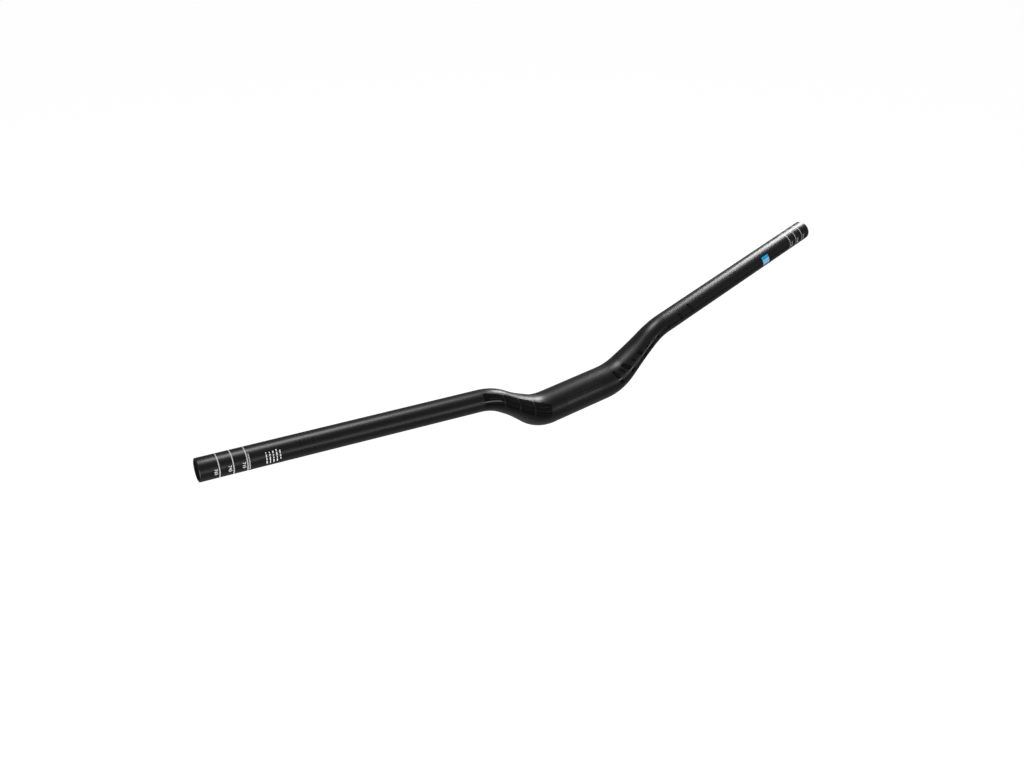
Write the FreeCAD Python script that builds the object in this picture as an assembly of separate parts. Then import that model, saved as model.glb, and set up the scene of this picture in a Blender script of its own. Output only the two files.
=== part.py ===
import FreeCAD
import Part

import os
from math import cos, pi, radians, sin, tan

Vector = FreeCAD.Vector

# Riser handlebar of a mountain bicycle: one hollow tube, drawn and bent in one piece.
# The origin is the middle of the stem clamp, +X runs along the clamp, the rider sits on the +Y side.

# Driving dimensions in millimetres and degrees
WIDTH = 800.0  # end to end, between the centres of the bar ends, along X
RISE = 40.0  # height of the upper bends' corners over the clamp axis
BACK_SWEEP = 9.0  # grips towards the rider, seen from above
UP_SWEEP = 3.3  # grips upwards, seen from the front
LEG_ANGLE = 34.5  # slope of the riser legs

CLAMP_DIAMETER = 35.0
CLAMP_LENGTH = 74.0  # straight and full size, between the lower bends
GRIP_DIAMETER = 22.2
LOWER_BEND_RADIUS = 50.0
UPPER_BEND_RADIUS = 50.0

# The legs are oval: their height shrinks to the grip size sooner than their depth does
HEIGHT_TAPER_LENGTH = 62.0
DEPTH_TAPER_DELAY = 8.0  # from the end of the clamp length
DEPTH_TAPER_LENGTH = 91.0

CLAMP_WALL = 2.6
GRIP_WALL = 2.1
END_ROUND = 0.8  # outer edge of each bar end
BORE_CHAMFER = 0.3  # inner edge of each bar end

SECTION_COUNT = 28  # lofted sections of each half, closest together at the loft's ends

X_AXIS = Vector(1, 0, 0)
Z_AXIS = Vector(0, 0, 1)
ORIGIN = Vector(0, 0, 0)


def unit(vector):
    return vector / vector.Length


def rounded_corner(corner, before, after, radius):
    """Arc of the given radius between the directions before and after a corner."""
    turn = before.getAngle(after)
    reach = radius * tan(turn / 2)
    depth = radius / cos(turn / 2) - radius
    middle = corner + unit(after - before) * depth
    return Part.Arc(corner - before * reach, middle, corner + after * reach).toShape()


def straight(start, end):
    return Part.LineSegment(start, end).toShape()


def centreline():
    """Edges of the right half's centreline: clamp, lower bend, leg, upper bend and grip."""
    leg = Vector(cos(radians(LEG_ANGLE)), 0, sin(radians(LEG_ANGLE)))
    grip = unit(Vector(1, tan(radians(BACK_SWEEP)), tan(radians(UP_SWEEP))))
    lower_reach = LOWER_BEND_RADIUS * tan(radians(LEG_ANGLE) / 2)
    lower_corner = X_AXIS * (CLAMP_LENGTH / 2 + lower_reach)
    upper_corner = lower_corner + leg * (RISE / leg.z)
    bar_end = upper_corner + grip * ((WIDTH / 2 - upper_corner.x) / grip.x)
    lower_bend = rounded_corner(lower_corner, X_AXIS, leg, LOWER_BEND_RADIUS)
    upper_bend = rounded_corner(upper_corner, leg, grip, UPPER_BEND_RADIUS)
    corners = [edge.valueAt(limit) for edge in (lower_bend, upper_bend) for limit in edge.ParameterRange]
    return [
        straight(ORIGIN, corners[0]),
        lower_bend,
        straight(corners[1], corners[2]),
        upper_bend,
        straight(corners[3], bar_end),
    ]


def place_at(edges, distance):
    """Point and direction at a distance along the centreline from the clamp's middle."""
    for edge in edges:
        if distance <= edge.Length or edge is edges[-1]:
            parameter = edge.getParameterByLength(distance)
            return edge.valueAt(parameter), unit(edge.tangentAt(parameter))
        distance -= edge.Length


def ease(distance, start, length):
    """Smooth change from 0 to 1 over a length of the tube."""
    share = min(max((distance - start) / length, 0.0), 1.0)
    return share * share * (3 - 2 * share)


def blend(clamp_size, grip_size, share):
    return clamp_size + (grip_size - clamp_size) * share


def half_sizes(distance, inside):
    """Half height and half depth of the tube, or of the hollow inside it."""
    clamp_end = CLAMP_LENGTH / 2
    height_share = ease(distance, clamp_end, HEIGHT_TAPER_LENGTH)
    depth_share = ease(distance, clamp_end + DEPTH_TAPER_DELAY, DEPTH_TAPER_LENGTH)
    wall = blend(CLAMP_WALL, GRIP_WALL, depth_share) if inside else 0.0
    height = blend(CLAMP_DIAMETER, GRIP_DIAMETER, height_share) / 2 - wall
    depth = blend(CLAMP_DIAMETER, GRIP_DIAMETER, depth_share) / 2 - wall
    return height, depth


def section(edges, distance, inside):
    """Oval wire square to the centreline, with its height in the tube's upright plane."""
    point, along = place_at(edges, distance)
    up = unit(Z_AXIS - along * along.dot(Z_AXIS))
    across = along.cross(up)
    height, depth = half_sizes(distance, inside)
    up = up * height
    across = across * depth
    placing = FreeCAD.Matrix(
        up.x, across.x, along.x, point.x,
        up.y, across.y, along.y, point.y,
        up.z, across.z, along.z, point.z,
        0, 0, 0, 1,
    )
    return Part.Wire([Part.Circle().toShape().transformGeometry(placing)])


def shaped_length(edges):
    """Where the bends and tapers start and end along the centreline."""
    clamp_end = CLAMP_LENGTH / 2
    bends_end = sum(edge.Length for edge in edges[:-1])
    tapers_end = clamp_end + max(HEIGHT_TAPER_LENGTH, DEPTH_TAPER_DELAY + DEPTH_TAPER_LENGTH)
    return clamp_end, max(bends_end, tapers_end)


def bent_stretch(edges, start, end, inside):
    """Loft over the bends and tapers, with its sections closest where it runs into the straights."""
    turns = [pi * index / (SECTION_COUNT - 1) for index in range(SECTION_COUNT)]
    stations = [start + (end - start) * (1 - cos(turn)) / 2 for turn in turns]
    return Part.makeLoft([section(edges, station, inside) for station in stations], True)


def half_tube(edges, inside):
    """Right half of the outer form, or of the hollow: clamp, bends and grip."""
    start, end = shaped_length(edges)
    clamp_radius, _ = half_sizes(start, inside)
    clamp = Part.makeCylinder(clamp_radius, start, ORIGIN, X_AXIS)

    grip_start, outward = place_at(edges, end)
    grip_length = sum(edge.Length for edge in edges) - end
    grip_radius, _ = half_sizes(end, inside)
    grip = Part.makeCylinder(grip_radius, grip_length, grip_start, outward)
    if inside:
        mouth_start = grip_start + outward * (grip_length - BORE_CHAMFER)
        mouth_radius = grip_radius + BORE_CHAMFER
        grip = grip.fuse(Part.makeCone(grip_radius, mouth_radius, BORE_CHAMFER, mouth_start, outward))
    else:
        rim = max(grip.Edges, key=lambda edge: edge.CenterOfMass.x)
        grip = grip.makeFillet(END_ROUND, [rim])
    return clamp.multiFuse([bent_stretch(edges, start, end, inside), grip])


def handlebar():
    edges = centreline()
    half = half_tube(edges, False).cut(half_tube(edges, True))
    other_half = half.mirror(ORIGIN, X_AXIS)
    return half.fuse(other_half).removeSplitter()


os.makedirs("parts", exist_ok=True)
bar = handlebar()
bar.exportStep("parts/handlebar.step")
print("solids", len(bar.Solids), "valid", bar.isValid(), "volume cm3", round(bar.Volume / 1000, 2))
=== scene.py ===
from functools import cache
from math import ceil, cos, degrees, pi, radians, sin, tan

import bmesh
import bpy
from mathutils import Matrix, Vector


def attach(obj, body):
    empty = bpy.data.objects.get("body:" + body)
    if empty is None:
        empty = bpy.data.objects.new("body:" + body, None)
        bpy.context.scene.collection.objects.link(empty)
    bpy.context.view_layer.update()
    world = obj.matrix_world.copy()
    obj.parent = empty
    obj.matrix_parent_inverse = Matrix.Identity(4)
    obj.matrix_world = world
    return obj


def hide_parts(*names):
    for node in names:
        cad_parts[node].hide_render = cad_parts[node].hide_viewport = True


# Looks of a riser handlebar, in metres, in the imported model's own frame
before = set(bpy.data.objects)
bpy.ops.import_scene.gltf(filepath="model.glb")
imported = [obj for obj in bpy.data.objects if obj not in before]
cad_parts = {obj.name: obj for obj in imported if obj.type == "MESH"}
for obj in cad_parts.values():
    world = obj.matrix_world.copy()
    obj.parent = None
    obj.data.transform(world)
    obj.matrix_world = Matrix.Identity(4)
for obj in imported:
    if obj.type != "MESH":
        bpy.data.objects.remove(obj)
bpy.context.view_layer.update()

MM = 0.001
X_AXIS = Vector((1, 0, 0))
Z_AXIS = Vector((0, 0, 1))

# Sizes of the bar, as in its source
WIDTH = 800 * MM
RISE = 40 * MM
BACK_SWEEP = radians(9.0)
UP_SWEEP = radians(3.3)
LEG_ANGLE = radians(34.5)
CLAMP_DIAMETER = 35 * MM
CLAMP_LENGTH = 74 * MM
GRIP_DIAMETER = 22.2 * MM
LOWER_BEND_RADIUS = 50 * MM
UPPER_BEND_RADIUS = 50 * MM
HEIGHT_TAPER_LENGTH = 62 * MM
DEPTH_TAPER_DELAY = 8 * MM
DEPTH_TAPER_LENGTH = 91 * MM
CLAMP_WALL = 2.6 * MM
GRIP_WALL = 2.1 * MM
END_ROUND = 0.8 * MM
BORE_CHAMFER = 0.3 * MM

# Fineness of the tube's mesh
RING_POINTS = 112
RING_ANGLES = [360 * index / RING_POINTS for index in range(RING_POINTS)]
STRAIGHT_STEP = 11 * MM
BEND_STEP = 1.2 * MM
ROUND_STEPS = 6
SHARP_ANGLE = radians(32)  # edges bent further than this are shaded as hard edges

# Prints stand on the tube as thin closed slabs
PRINT_LIFT = 0.035 * MM  # over the surface
PRINT_SINK = 0.12 * MM  # under the surface
PRINT_STEP = 2 * MM
PRINT_ARC_STEP = 2.5  # degrees

# Camera of the photo: angles in degrees, distance to the bar's origin, pixels of a 1024 x 768 picture
PICTURE_WIDTH = 1024
PICTURE_HEIGHT = 768
VIEW_AZIMUTH = -37.695
VIEW_ELEVATION = 32.833
VIEW_DISTANCE = 1.24033
FOCAL_PIXELS = 1175.426
ORIGIN_PIXEL = (575.293, 394.175)
SENSOR_WIDTH = 36.0  # millimetres
NEAREST_SEEN = 0.05
FARTHEST_SEEN = 60.0

# Finishes
SATIN_SPECULAR = 0.375
SATIN_ROUGHNESS = 0.37
SATIN_GRAIN = 0.006  # change of roughness over the grain
SATIN_DARK = 0.0016
SATIN_LIGHT = 0.0024
GLOSS_SPECULAR = 0.30
BORE_SPECULAR = 0.2
INK_SPECULAR = 0.3
INK_UNEVENNESS = 0.06  # change of roughness over an ink
LINE_SPECULAR = 0.56

# Floor
FLOOR_LEVEL = -1.0
FLOOR_RADIUS = 18.0
FLOOR_SIDES = 96
FLOOR_GLOW = 0.95
FLOOR_RIM_GLOW = 0.18
FLOOR_FADE = (7.0, 17.5)  # distances between which the glow falls off
FLOOR_PAINT = 0.8
FLOOR_SHADOW = 0.16  # thin paint over the glow, which the bar's shadow takes away

# Grey card over the floor, seen in reflections only: it puts painted shade, a darker reflection, into the
# bar's lower side
CARD_LEVEL = -0.98
CARD_SIZE = 14.0
# grey of the painted shade that the card gives the bar's reflections
CARD_SHADE_GREY = 0.28
CARD_ROUGHNESS = 0.9

# Even light from all round
WORLD_LEVEL = 0.22

# Softboxes: azimuth and elevation in degrees, distance, width and height, turn in degrees, radiance
SOFTBOXES = {
    "overhead_softbox": (148.3, 73.1, 1.95, 0.68, 0.74, -4.0, 16.4),
    "back_softbox": (114.0, 27.1, 1.21, 0.38, 0.41, 19.0, 19.9),
    "low_back_softbox": (114.2, 9.0, 2.37, 0.10, 1.0, 9.0, 20.0),
    "front_softbox": (5.2, 4.6, 1.59, 1.69, 0.23, 0.0, 5.3),
    "side_softbox": (-70.0, -3.0, 1.60, 0.80, 0.80, 0.0, 14.0),
    "fill_softbox": (-103.0, 66.0, 1.80, 0.50, 0.50, 0.0, 4.2),
}


# Centreline of the tube


def straight_run(start, direction, length):
    """Length of a straight run, and its point and direction at a distance along it."""

    def at(distance):
        return start + direction * distance, direction

    return length, at


def bend_run(corner, before, after, radius):
    """The same for an arc that rounds a corner."""
    turn = before.angle(after)
    start = corner - before * (radius * tan(turn / 2))
    inward = (after - before * before.dot(after)).normalized()

    def at(distance):
        angle = distance / radius
        point = start + before * (radius * sin(angle)) + inward * (radius * (1 - cos(angle)))
        return point, before * cos(angle) + inward * sin(angle)

    return radius * turn, at


def centreline():
    """Runs of the right half: clamp, lower bend, leg, upper bend and grip."""
    leg = Vector((cos(LEG_ANGLE), 0, sin(LEG_ANGLE)))
    grip = Vector((1, tan(BACK_SWEEP), tan(UP_SWEEP))).normalized()
    lower_corner = X_AXIS * (CLAMP_LENGTH / 2 + LOWER_BEND_RADIUS * tan(LEG_ANGLE / 2))
    upper_corner = lower_corner + leg * (RISE / leg.z)
    bar_end = upper_corner + grip * ((WIDTH / 2 - upper_corner.x) / grip.x)
    lower_length, lower_bend = bend_run(lower_corner, X_AXIS, leg, LOWER_BEND_RADIUS)
    upper_length, upper_bend = bend_run(upper_corner, leg, grip, UPPER_BEND_RADIUS)
    leg_start, _ = lower_bend(lower_length)
    leg_end, _ = upper_bend(0)
    grip_start, _ = upper_bend(upper_length)
    return [
        straight_run(Vector((0, 0, 0)), X_AXIS, CLAMP_LENGTH / 2),
        (lower_length, lower_bend),
        straight_run(leg_start, leg, (leg_end - leg_start).length),
        (upper_length, upper_bend),
        straight_run(grip_start, grip, (bar_end - grip_start).length),
    ]


RUNS = centreline()
HALF_LENGTH = sum(length for length, _ in RUNS)
SHAPED_START = CLAMP_LENGTH / 2
SHAPED_END = SHAPED_START + DEPTH_TAPER_DELAY + DEPTH_TAPER_LENGTH


@cache
def place_at(distance):
    """Centre, up and front directions of the tube at a signed distance from the clamp's middle."""
    rest = abs(distance)
    for length, at in RUNS[:-1]:
        if rest <= length:
            break
        rest -= length
    else:
        at = RUNS[-1][1]
    point, along = at(rest)
    if distance < 0:
        point = Vector((-point.x, point.y, point.z))
        along = Vector((along.x, -along.y, -along.z))
    up = (Z_AXIS - along * along.z).normalized()
    return point, up, along.cross(up)


def ease(distance, start, length):
    """Smooth change from 0 to 1 over a length of the tube."""
    share = min(max((distance - start) / length, 0.0), 1.0)
    return share * share * (3 - 2 * share)


def between(first, last, share):
    return first + (last - first) * share


def half_sizes(distance):
    """Half height, half depth and wall thickness of the tube."""
    height_share = ease(abs(distance), SHAPED_START, HEIGHT_TAPER_LENGTH)
    depth_share = ease(abs(distance), SHAPED_START + DEPTH_TAPER_DELAY, DEPTH_TAPER_LENGTH)
    height = between(CLAMP_DIAMETER, GRIP_DIAMETER, height_share) / 2
    depth = between(CLAMP_DIAMETER, GRIP_DIAMETER, depth_share) / 2
    return height, depth, between(CLAMP_WALL, GRIP_WALL, depth_share)


def on_tube(distance, angle, lift=0.0):
    """Point over the tube's surface; the angle in degrees is 0 on top and grows towards the front."""
    centre, up, front = place_at(distance)
    height, depth, _ = half_sizes(distance)
    turn = radians(angle)
    return centre + up * ((height + lift) * cos(turn)) + front * ((depth + lift) * sin(turn))


# Pieces


def new_piece(name, shell, materials):
    """Object from a bmesh, with its faces turned outwards and shaded smooth up to the hard edges."""
    bmesh.ops.recalc_face_normals(shell, faces=shell.faces)
    mesh = bpy.data.meshes.new(name)
    shell.to_mesh(mesh)
    shell.free()
    for polygon in mesh.polygons:
        polygon.use_smooth = True
    mesh.set_sharp_from_angle(angle=SHARP_ANGLE)
    for material in materials:
        mesh.materials.append(material)
    piece = bpy.data.objects.new(name, mesh)
    bpy.context.scene.collection.objects.link(piece)
    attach(piece, "root")
    return piece


def spaced(first, last, step):
    """Evenly spaced values from first to last, both included."""
    count = max(1, ceil(abs(last - first) / step))
    return [between(first, last, index / count) for index in range(count + 1)]


def half_stations(end):
    """Distances of the tube's rings from the clamp's middle to one end."""
    clamp = spaced(0, SHAPED_START, STRAIGHT_STEP)
    shaped = spaced(SHAPED_START, SHAPED_END, BEND_STEP)
    grip = spaced(SHAPED_END, end, STRAIGHT_STEP)
    return clamp[:-1] + shaped[:-1] + grip


def wall_rings():
    """Rings round the tube's wall, as (distance, depth under the outer surface, end face or hollow)."""
    outer = half_stations(HALF_LENGTH - END_ROUND)
    inner = half_stations(HALF_LENGTH - BORE_CHAMFER)
    mouth = []
    for step in range(1, ROUND_STEPS + 1):
        turn = pi / 2 * step / ROUND_STEPS
        mouth.append((HALF_LENGTH - END_ROUND * (1 - sin(turn)), END_ROUND * (1 - cos(turn)), False))
    mouth[-1] = (HALF_LENGTH, END_ROUND, True)
    mouth.append((HALF_LENGTH, GRIP_WALL - BORE_CHAMFER, True))
    right = [(distance, 0.0, False) for distance in outer] + mouth
    right += [(distance, half_sizes(distance)[2], True) for distance in reversed(inner)]
    left = [(-distance, depth, inside) for distance, depth, inside in reversed(right)]
    return right[:-1] + left[:-1]


def add_band(shell, ring, following):
    """Faces between two rings of points."""
    faces = []
    for turn in range(RING_POINTS):
        back = turn - 1
        faces.append(shell.faces.new((ring[back], ring[turn], following[turn], following[back])))
    return faces


def bar_tube():
    """The whole tube as one closed mesh: outside, rounded ends and hollow."""
    shell = bmesh.new()
    stations = wall_rings()
    rings = []
    for distance, depth, _ in stations:
        rings.append([shell.verts.new(on_tube(distance, angle, -depth)) for angle in RING_ANGLES])
    for index, ring in enumerate(rings):
        following = (index + 1) % len(rings)
        inside = stations[index][2] and stations[following][2]
        for face in add_band(shell, ring, rings[following]):
            face.material_index = int(inside)
    tube = new_piece("bar_tube", shell, [satin_black(), bore_black()])
    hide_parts("handlebar")


# Prints


def add_slab(shell, grid, height=PRINT_LIFT):
    """Thin closed slab on the tube over a grid of (distance, angle) places."""
    layers = []
    for lift in (height, -PRINT_SINK):
        layers.append([[shell.verts.new(on_tube(*place, lift)) for place in row] for row in grid])
    top, bottom = layers
    last_row = len(grid) - 1
    last_column = len(grid[0]) - 1
    for row in range(last_row):
        after = row + 1
        for column in range(last_column):
            for layer in layers:
                here, there = layer[row], layer[after]
                shell.faces.new((here[column], here[column + 1], there[column + 1], there[column]))
        for column in (0, last_column):
            side = (top[row][column], top[after][column], bottom[after][column], bottom[row][column])
            shell.faces.new(side)
    for row in (0, last_row):
        for column in range(last_column):
            after = column + 1
            shell.faces.new((top[row][column], top[row][after], bottom[row][after], bottom[row][column]))


def add_bar(shell, span, arc, lean=0.0, height=PRINT_LIFT):
    """Slab between two distances and two angles; lean moves its ends along the tube, per degree."""
    angles = spaced(arc[0], arc[1], PRINT_ARC_STEP)
    middle = (arc[0] + arc[1]) / 2
    rows = spaced(span[0], span[1], PRINT_STEP)
    add_slab(shell, [[(row + lean * (angle - middle), angle) for angle in angles] for row in rows], height)


def span_about(middle, width):
    return middle - width / 2, middle + width / 2


def add_ring(shell, distance, width):
    """Thin closed band all round the tube."""
    start, end = span_about(distance, width)
    edges = [(start, PRINT_LIFT), (end, PRINT_LIFT), (end, -PRINT_SINK), (start, -PRINT_SINK)]
    rings = []
    for place, lift in edges:
        rings.append([shell.verts.new(on_tube(place, angle, lift)) for angle in RING_ANGLES])
    for index, ring in enumerate(rings):
        add_band(shell, ring, rings[(index + 1) % len(rings)])


# Numerals
NUMBER_STRIP = 0.4 * MM  # width of the strips that let the numerals follow the tube
NUMBER_SNAP = 0.01 * MM  # shortest edge that is kept


def flat_numerals(text, size):
    """Plain numerals as one flat mesh, cut into narrow strips."""
    curve = bpy.data.curves.new("numerals", "FONT")
    curve.body = text
    curve.size = size
    curve.align_x = "CENTER"
    curve.align_y = "CENTER"
    holder = bpy.data.objects.new("numerals", curve)
    mesh = bpy.data.meshes.new_from_object(holder)
    flat = bmesh.new()
    flat.from_mesh(mesh)
    bpy.data.meshes.remove(mesh)
    bpy.data.objects.remove(holder)
    bpy.data.curves.remove(curve)
    bmesh.ops.remove_doubles(flat, verts=flat.verts, dist=NUMBER_SNAP)
    reach = max(abs(vertex.co.x) for vertex in flat.verts)
    for cut in spaced(-reach, reach, NUMBER_STRIP)[1:-1]:
        parts = [*flat.verts, *flat.edges, *flat.faces]
        bmesh.ops.bisect_plane(flat, geom=parts, dist=NUMBER_SNAP, plane_co=X_AXIS * cut, plane_no=X_AXIS)
    bmesh.ops.dissolve_degenerate(flat, dist=NUMBER_SNAP, edges=flat.edges)
    return flat


def add_number(shell, text, size, distance, angle):
    """Numerals that run round the tube, as thin closed slabs."""
    flat = flat_numerals(text, size)
    layers = []
    for lift in (PRINT_LIFT, -PRINT_SINK):
        layer = {}
        for vertex in flat.verts:
            turn = degrees(vertex.co.x / (GRIP_DIAMETER / 2))
            layer[vertex] = shell.verts.new(on_tube(distance + vertex.co.y, angle + turn, lift))
        layers.append(layer)
    top, bottom = layers
    for face in flat.faces:
        for layer in layers:
            shell.faces.new([layer[vertex] for vertex in face.verts])
    for edge in flat.edges:
        if edge.is_boundary:
            first, last = edge.verts
            shell.faces.new((top[first], top[last], bottom[last], bottom[first]))
    flat.free()


# Cut marks near the bar's ends
CUT_WIDTHS = (765, 740, 715)  # bar widths at the marks, in millimetres
CUT_RING_WIDTH = 1.0 * MM
CUT_NUMBER_SIZE = 4.2 * MM
CUT_NUMBER_GAP = 3.4 * MM
CUT_NUMBER_ANGLE = 86  # degrees
CUT_SHIFTS = {-1: 0.0, 1: 1.8 * MM}  # how much further out the marks sit on the left and on the right


def cut_marks():
    """Rings with plain width numbers where the bar may be shortened."""
    rings = bmesh.new()
    numbers = bmesh.new()
    _, along = RUNS[-1][1](0)
    for width in CUT_WIDTHS:
        from_end = (WIDTH - width * MM) / 2 / along.x
        for side in (-1, 1):
            place = side * (HALF_LENGTH - from_end + CUT_SHIFTS[side])
            add_ring(rings, place, CUT_RING_WIDTH)
            number_place = place + side * CUT_NUMBER_GAP
            add_number(numbers, str(width), CUT_NUMBER_SIZE, number_place, CUT_NUMBER_ANGLE)
    new_piece("cut_rings", rings, [silver_ink()])
    new_piece("cut_numbers", numbers, [white_ink()])


# Rows of plain dashes on the left grip: angle where the row starts, then the dashes' lengths in degrees
DASH_ROWS = (
    (50, (5, 14, 10, 17)),
    (51, (5, 9, 21, 10)),
    (50, (12, 7, 9, 17)),
    (46, (8, 18, 7, 15)),
    (53, (16, 12, 9)),
)
DASH_GAP = 4.5  # degrees
DASH_WIDTH = 0.95 * MM
DASH_FIRST_ROW = -354.2 * MM
DASH_ROW_STEP = 3.2 * MM


def dash_block():
    shell = bmesh.new()
    for index, (angle, lengths) in enumerate(DASH_ROWS):
        middle = DASH_FIRST_ROW + index * DASH_ROW_STEP
        for length in lengths:
            add_bar(shell, span_about(middle, DASH_WIDTH), (angle, angle + length))
            angle += length + DASH_GAP
    new_piece("dash_block", shell, [white_ink()])


# Fine broken line beside the left grip's innermost cut mark
SIDE_LINE = -369.8 * MM
SIDE_LINE_WIDTH = 1.2 * MM
SIDE_LINE_ARC = (36, 118)
SIDE_DASH_ARC = 5  # degrees
SIDE_DASH_STEP = 7


def side_line():
    shell = bmesh.new()
    for angle in range(*SIDE_LINE_ARC, SIDE_DASH_STEP):
        add_bar(shell, span_about(SIDE_LINE, SIDE_LINE_WIDTH), (angle, angle + SIDE_DASH_ARC))
    new_piece("side_line", shell, [silver_ink()])


# Faint gloss mark on the left grip: two thin arcs with short dashes between them
MARK_PLACES = (-321.6 * MM, -309.1 * MM)
MARK_WIDTH = 0.45 * MM
MARK_ARC = (22, 98)
MARK_DASH_SPANS = ((-318.2 * MM, -316.0 * MM), (-314.8 * MM, -312.6 * MM))
MARK_DASH_ARCS = ((28, 30), (46, 48), (59, 61), (79, 82))


def grip_mark():
    shell = bmesh.new()
    for place in MARK_PLACES:
        add_bar(shell, span_about(place, MARK_WIDTH), MARK_ARC)
    for arc in MARK_DASH_ARCS:
        for span in MARK_DASH_SPANS:
            add_bar(shell, span, arc)
    new_piece("grip_mark", shell, [gloss_black()])


# Blue accent on the right grip: stripes along the tube, each set further out than the one above
ACCENT_START = 314.4 * MM
ACCENT_LENGTH = 12.5 * MM
ACCENT_ARCS = ((48, 66), (67.5, 83), (84.5, 98), (99.5, 107))
ACCENT_SHIFT = 0.8 * MM


def blue_accent():
    for index, arc in enumerate(ACCENT_ARCS):
        shell = bmesh.new()
        start = ACCENT_START + index * ACCENT_SHIFT
        add_bar(shell, (start, start + ACCENT_LENGTH), arc)
        outer = index in (0, len(ACCENT_ARCS) - 1)
        new_piece(f"blue_stripe_{index + 1}", shell, [deep_blue_ink() if outer else pale_blue_ink()])


# Gloss panel on the left leg: the edges of its blocks along the tube, and angles in degrees round it
PANEL_EDGES = [place * MM for place in (-134, -112, -91, -70, -46)]
PANEL_GAP = 1.6 * MM
PANEL_LEAN = 0.09 * MM  # per degree round the tube
PANEL_TOPS = (21, 32, 38, 33, 32, 33, 36, 48)  # upper edge, evenly spaced along the panel
PANEL_BOTTOM = 116
PANEL_SPLIT = (80, 82.5)
PANEL_STEPS = ceil((PANEL_SPLIT[0] - min(PANEL_TOPS)) / PRINT_ARC_STEP)


def panel_top(distance):
    """Angle of the panel's upper edge at a distance."""
    share = (distance - PANEL_EDGES[0]) / (PANEL_EDGES[-1] - PANEL_EDGES[0])
    place = min(max(share, 0.0), 1.0) * (len(PANEL_TOPS) - 1)
    index = min(int(place), len(PANEL_TOPS) - 2)
    return between(PANEL_TOPS[index], PANEL_TOPS[index + 1], place - index)


def panel_row(distance, lean, upper):
    """Places across one half of the panel, over or under its lengthwise gap."""
    top, bottom = (panel_top(distance), PANEL_SPLIT[0]) if upper else (PANEL_SPLIT[1], PANEL_BOTTOM)
    angles = [between(top, bottom, step / PANEL_STEPS) for step in range(PANEL_STEPS + 1)]
    return [(distance + lean * (angle - PANEL_SPLIT[0]), angle) for angle in angles]


def gloss_panel():
    """Panel cut by leaning gaps and one lengthwise gap; its two ends stand square to the tube."""
    shell = bmesh.new()
    last = len(PANEL_EDGES) - 2
    for index in range(last + 1):
        start_leans = float(index > 0)
        end_leans = float(index < last)
        start = PANEL_EDGES[index] + start_leans * PANEL_GAP / 2
        end = PANEL_EDGES[index + 1] - end_leans * PANEL_GAP / 2
        rows = spaced(start, end, PRINT_STEP)
        shares = [(row - start) / (end - start) for row in rows]
        leans = [PANEL_LEAN * between(start_leans, end_leans, share) for share in shares]
        for upper in (True, False):
            add_slab(shell, [panel_row(row, lean, upper) for row, lean in zip(rows, leans)])
    new_piece("gloss_panel", shell, [gloss_black()])


# Satin slots on the panel, one in each of its blocks
SLOT_ARC = (54, 57.5)
SLOT_MARGIN = 5 * MM
SLOT_LIFT = 2 * PRINT_LIFT  # stands on the panel


def panel_slots():
    shell = bmesh.new()
    for start, end in zip(PANEL_EDGES, PANEL_EDGES[1:]):
        add_bar(shell, (start + SLOT_MARGIN, end - SLOT_MARGIN), SLOT_ARC, PANEL_LEAN, SLOT_LIFT)
    new_piece("panel_slots", shell, [satin_black()])


# Gloss slats on the right leg: place and width in millimetres along the tube, arc in degrees
SLATS = (
    (50, 5, (30, 92)),
    (60, 2.5, (36, 60)),
    (69, 6, (28, 90)),
    (79, 2.5, (44, 62)),
    (91, 5, (42, 96)),
    (103, 9, (60, 92)),
    (116, 3, (66, 98)),
    (134, 3, (68, 98)),
    (155, 4, (44, 88)),
    (175, 3, (28, 90)),
)
SLAT_LEAN = 0.09 * MM  # per degree round the tube


def gloss_slats():
    shell = bmesh.new()
    for place, width, arc in SLATS:
        add_bar(shell, span_about(place * MM, width * MM), arc, SLAT_LEAN)
    new_piece("gloss_slats", shell, [gloss_black()])


# Fine lines on the clamp's front, for turning the bar to the same place again
CLAMP_LINE_REACH = 23.5 * MM
CLAMP_LINE_ANGLES = (44.5, 54, 63.5, 67.5, 71.5, 82.5)
CLAMP_LINE_ARC = 3.6  # degrees
CENTRE_GAP = 1.2 * MM  # between the lines on the left and those on the right, where the tick stands
CENTRE_TICK_WIDTH = 1.0 * MM
CENTRE_TICK_ARC = (42, 85)


def clamp_lines():
    shell = bmesh.new()
    for angle in CLAMP_LINE_ANGLES:
        arc = span_about(angle, CLAMP_LINE_ARC)
        for side in (-1, 1):
            add_bar(shell, sorted((side * CENTRE_GAP / 2, side * CLAMP_LINE_REACH)), arc)
    add_bar(shell, span_about(0, CENTRE_TICK_WIDTH), CENTRE_TICK_ARC)
    new_piece("clamp_lines", shell, [line_grey()])


# Materials

NOISE_RANGE = (0.3, 0.7)  # the values that a noise mostly takes


def grey(level):
    return level, level, level


def new_material(name):
    material = bpy.data.materials.new(name)
    material.use_nodes = True
    return material, material.node_tree, material.node_tree.nodes["Principled BSDF"]


def noise(tree, scale, detail, stretch=(1, 1, 1)):
    """Noise over the object's own coordinates; scale is in features per metre."""
    coordinates = tree.nodes.new("ShaderNodeTexCoord")
    mapping = tree.nodes.new("ShaderNodeMapping")
    mapping.inputs["Scale"].default_value = stretch
    texture = tree.nodes.new("ShaderNodeTexNoise")
    texture.inputs["Scale"].default_value = scale
    texture.inputs["Detail"].default_value = detail
    tree.links.new(coordinates.outputs["Object"], mapping.inputs["Vector"])
    tree.links.new(mapping.outputs["Vector"], texture.inputs["Vector"])
    return texture.outputs["Fac"]


def vary_colour(tree, shader, source, low, high):
    ramp = tree.nodes.new("ShaderNodeValToRGB")
    for element, place, colour in zip(ramp.color_ramp.elements, NOISE_RANGE, (low, high)):
        element.position = place
        element.color = (*colour, 1)
    tree.links.new(source, ramp.inputs["Fac"])
    tree.links.new(ramp.outputs["Color"], shader.inputs["Base Color"])


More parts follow.
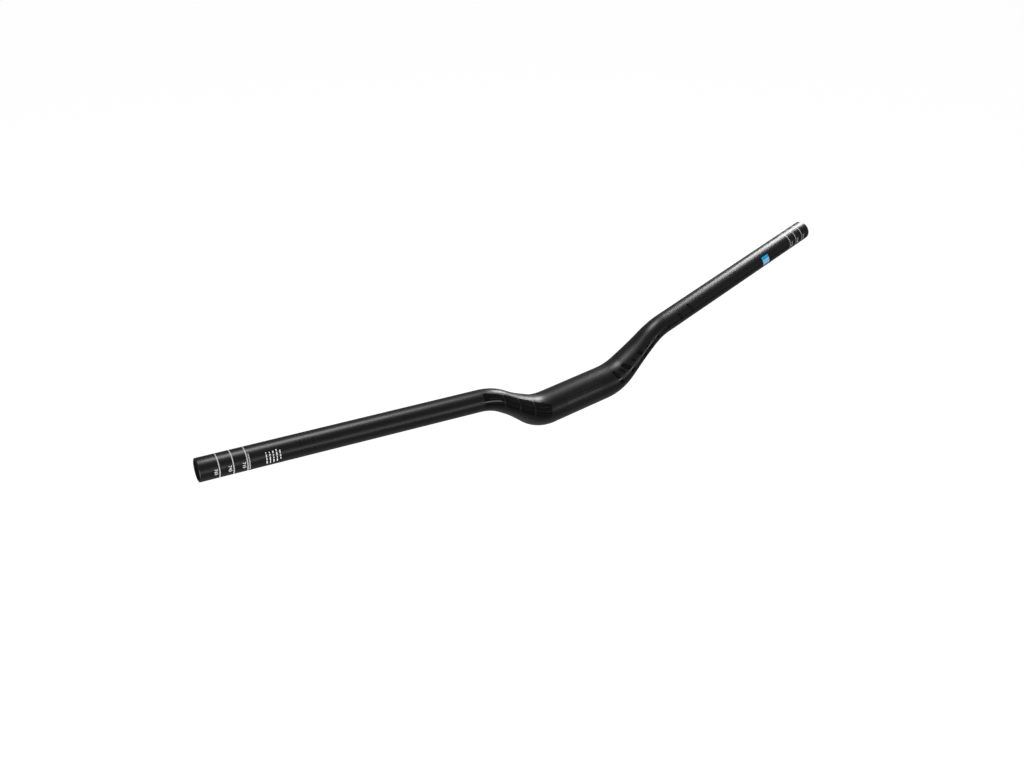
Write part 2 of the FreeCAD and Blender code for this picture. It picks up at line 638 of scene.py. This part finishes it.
def vary_roughness(tree, shader, source, low, high):
    spread = tree.nodes.new("ShaderNodeMapRange")
    spread.inputs["From Min"].default_value = NOISE_RANGE[0]
    spread.inputs["From Max"].default_value = NOISE_RANGE[1]
    spread.inputs["To Min"].default_value = low
    spread.inputs["To Max"].default_value = high
    tree.links.new(source, spread.inputs["Value"])
    tree.links.new(spread.outputs["Result"], shader.inputs["Roughness"])


def add_bump(tree, shader, source, depth, strength):
    bump = tree.nodes.new("ShaderNodeBump")
    bump.inputs["Strength"].default_value = strength
    bump.inputs["Distance"].default_value = depth
    tree.links.new(source, bump.inputs["Height"])
    tree.links.new(bump.outputs["Normal"], shader.inputs["Normal"])


@cache
def satin_black():
    """Satin black finish with a fine grain."""
    material, tree, shader = new_material("satin_black")
    shader.inputs["Specular IOR Level"].default_value = SATIN_SPECULAR
    grain = noise(tree, scale=2500, detail=1)
    vary_colour(tree, shader, noise(tree, scale=60, detail=4), grey(SATIN_DARK), grey(SATIN_LIGHT))
    vary_roughness(tree, shader, grain, SATIN_ROUGHNESS - SATIN_GRAIN, SATIN_ROUGHNESS + SATIN_GRAIN)
    return material


def bore_black():
    """Dull dark inner wall and end faces, with drawn streaks along the tube."""
    material, tree, shader = new_material("bore_black")
    shader.inputs["Specular IOR Level"].default_value = BORE_SPECULAR
    streaks = noise(tree, scale=900, detail=3, stretch=(0.02, 1, 1))
    vary_colour(tree, shader, streaks, grey(0.002), grey(0.006))
    vary_roughness(tree, shader, streaks, low=0.4, high=0.6)
    add_bump(tree, shader, streaks, depth=0.01 * MM, strength=0.4)
    return material


@cache
def gloss_black():
    """Clear gloss over black, with a faint waviness."""
    material, tree, shader = new_material("gloss_black")
    shader.inputs["Specular IOR Level"].default_value = GLOSS_SPECULAR
    vary_colour(tree, shader, noise(tree, scale=80, detail=2), grey(0.0004), grey(0.0010))
    vary_roughness(tree, shader, noise(tree, scale=300, detail=2), low=0.08, high=0.11)
    add_bump(tree, shader, noise(tree, scale=350, detail=1), depth=0.002 * MM, strength=0.3)
    return material


@cache
def ink(name, low, high, roughness, specular=INK_SPECULAR):
    """Printed ink: slightly uneven cover and dull surface."""
    material, tree, shader = new_material(name)
    shader.inputs["Specular IOR Level"].default_value = specular
    cover = noise(tree, scale=1800, detail=3)
    vary_colour(tree, shader, cover, low, high)
    vary_roughness(tree, shader, cover, roughness - INK_UNEVENNESS, roughness + INK_UNEVENNESS)
    add_bump(tree, shader, cover, depth=0.004 * MM, strength=0.3)
    return material


def white_ink():
    return ink("white_ink", (0.64, 0.64, 0.63), (0.72, 0.72, 0.71), roughness=0.5)


def silver_ink():
    return ink("silver_ink", grey(0.35), grey(0.43), roughness=0.42)


def line_grey():
    return ink("line_grey", grey(0.003), grey(0.005), roughness=0.38, specular=LINE_SPECULAR)


def deep_blue_ink():
    return ink("deep_blue_ink", (0.0, 0.36, 0.80), (0.0, 0.42, 0.88), roughness=0.45)


def pale_blue_ink():
    return ink("pale_blue_ink", (0.36, 0.73, 0.97), (0.42, 0.79, 0.99), roughness=0.45)


# Studio


def towards(azimuth, elevation):
    """Unit vector from the bar's origin; azimuth 0 is the front, elevation is over the horizon."""
    turn, tilt = radians(azimuth), radians(elevation)
    return Vector((sin(turn) * cos(tilt), -cos(turn) * cos(tilt), sin(tilt)))


def camera_axes():
    """Place of the photo's camera and its right, up and back directions."""
    back = towards(VIEW_AZIMUTH, VIEW_ELEVATION)
    right = (-back).cross(Z_AXIS).normalized()
    up = back.cross(right)
    shift_right = (ORIGIN_PIXEL[0] - PICTURE_WIDTH / 2) / FOCAL_PIXELS * VIEW_DISTANCE
    shift_down = (ORIGIN_PIXEL[1] - PICTURE_HEIGHT / 2) / FOCAL_PIXELS * VIEW_DISTANCE
    return back * VIEW_DISTANCE - right * shift_right + up * shift_down, right, up, back


def softbox(name, azimuth, elevation, distance, width, height, roll, radiance):
    """Rectangular lamp that faces the bar's origin."""
    centre = towards(azimuth, elevation) * distance
    lamp = bpy.data.lights.new(name, "AREA")
    lamp.shape = "RECTANGLE"
    lamp.size = width
    lamp.size_y = height
    lamp.energy = radiance * pi * width * height
    holder = bpy.data.objects.new(name, lamp)
    forward = -centre.normalized()
    right = forward.cross(Z_AXIS).normalized()
    facing = Matrix((right, right.cross(forward), -forward)).transposed().to_4x4()
    holder.matrix_world = Matrix.Translation(centre) @ facing @ Matrix.Rotation(radians(roll), 4, "Z")
    holder.visible_camera = False
    bpy.context.scene.collection.objects.link(holder)


def flat_object(name, shell, level, material):
    """Level object of the studio, from a bmesh."""
    mesh = bpy.data.meshes.new(name)
    shell.to_mesh(mesh)
    shell.free()
    mesh.materials.append(material)
    flat = bpy.data.objects.new(name, mesh)
    flat.location.z = level
    bpy.context.scene.collection.objects.link(flat)
    return flat


def studio_floor():
    """Pale floor under and behind the bar."""
    shell = bmesh.new()
    bmesh.ops.create_circle(shell, cap_ends=True, segments=FLOOR_SIDES, radius=FLOOR_RADIUS)
    floor = flat_object("studio_floor", shell, FLOOR_LEVEL, floor_white())


def seen_directly(tree):
    """1 for camera rays and for rays that reflect or pass through something, 0 for the others."""
    rays = tree.nodes.new("ShaderNodeLightPath")
    seen = rays.outputs["Is Camera Ray"]
    for kind in ("Is Glossy Ray", "Is Transmission Ray"):
        either = tree.nodes.new("ShaderNodeMath")
        either.operation = "MAXIMUM"
        tree.links.new(seen, either.inputs[0])
        tree.links.new(rays.outputs[kind], either.inputs[1])
        seen = either.outputs["Value"]
    return seen


def paint(tree, level):
    """Dull grey paint."""
    shader = tree.nodes.new("ShaderNodeBsdfDiffuse")
    shader.inputs["Color"].default_value = (*grey(level), 1)
    return shader.outputs["BSDF"]


def fading_glow(tree):
    """White glow that falls off far from the floor's middle."""
    coordinates = tree.nodes.new("ShaderNodeTexCoord")
    reach = tree.nodes.new("ShaderNodeVectorMath")
    reach.operation = "LENGTH"
    fade = tree.nodes.new("ShaderNodeMapRange")
    fade.interpolation_type = "SMOOTHSTEP"
    fade.inputs["From Min"].default_value = FLOOR_FADE[0]
    fade.inputs["From Max"].default_value = FLOOR_FADE[1]
    fade.inputs["To Min"].default_value = FLOOR_GLOW
    fade.inputs["To Max"].default_value = FLOOR_RIM_GLOW
    glow = tree.nodes.new("ShaderNodeEmission")
    tree.links.new(coordinates.outputs["Object"], reach.inputs[0])
    tree.links.new(reach.outputs["Value"], fade.inputs["Value"])
    tree.links.new(fade.outputs["Result"], glow.inputs["Strength"])
    return glow.outputs["Emission"]


def floor_white():
    """White to the camera and in reflections, where it still takes shadow, and grey paint to other rays."""
    material = bpy.data.materials.new("floor_white")
    material.use_nodes = True
    material.cycles.emission_sampling = "NONE"  # the glow is looked at, and isn't used as a lamp
    tree = material.node_tree
    tree.nodes.clear()
    lit = tree.nodes.new("ShaderNodeAddShader")
    choose = tree.nodes.new("ShaderNodeMixShader")
    output = tree.nodes.new("ShaderNodeOutputMaterial")
    tree.links.new(fading_glow(tree), lit.inputs[0])
    tree.links.new(paint(tree, FLOOR_SHADOW), lit.inputs[1])
    tree.links.new(seen_directly(tree), choose.inputs["Fac"])
    tree.links.new(paint(tree, FLOOR_PAINT), choose.inputs[1])
    tree.links.new(lit.outputs["Shader"], choose.inputs[2])
    tree.links.new(choose.outputs["Shader"], output.inputs["Surface"])
    return material


def card_grey():
    material, _, shader = new_material("card_grey")
    # this grey shows only as painted shade in the bar's reflections
    shader.inputs["Base Color"].default_value = (*grey(CARD_SHADE_GREY), 1)
    shader.inputs["Roughness"].default_value = CARD_ROUGHNESS
    return material


def grey_card():
    """Card that puts painted shade into the bar's lower side by keeping the white floor's reflection out of
    it; only reflections show it.
    """
    shell = bmesh.new()
    bmesh.ops.create_grid(shell, x_segments=1, y_segments=1, size=CARD_SIZE / 2)
    card = flat_object("grey_card", shell, CARD_LEVEL, card_grey())
    card.visible_camera = False
    card.visible_diffuse = False
    card.visible_shadow = False


def studio_world():
    world = bpy.data.worlds.new("studio_world")
    world.use_nodes = True
    background = world.node_tree.nodes["Background"]
    background.inputs["Color"].default_value = (1, 1, 1, 1)
    background.inputs["Strength"].default_value = WORLD_LEVEL
    bpy.context.scene.world = world


def photo_camera():
    place, right, up, back = camera_axes()
    data = bpy.data.cameras.new("photo_camera")
    data.sensor_fit = "HORIZONTAL"
    data.sensor_width = SENSOR_WIDTH
    data.lens = SENSOR_WIDTH * FOCAL_PIXELS / PICTURE_WIDTH
    data.clip_start = NEAREST_SEEN
    data.clip_end = FARTHEST_SEEN
    camera = bpy.data.objects.new("photo_camera", data)
    camera.matrix_world = Matrix.Translation(place) @ Matrix((right, up, back)).transposed().to_4x4()
    bpy.context.scene.collection.objects.link(camera)
    bpy.context.scene.camera = camera


bar_tube()
cut_marks()
dash_block()
side_line()
grip_mark()
blue_accent()
gloss_panel()
panel_slots()
gloss_slats()
clamp_lines()

studio_floor()
grey_card()
studio_world()
for name, values in SOFTBOXES.items():
    softbox(name, *values)
photo_camera()
bpy.context.scene.view_settings.view_transform = "Standard"
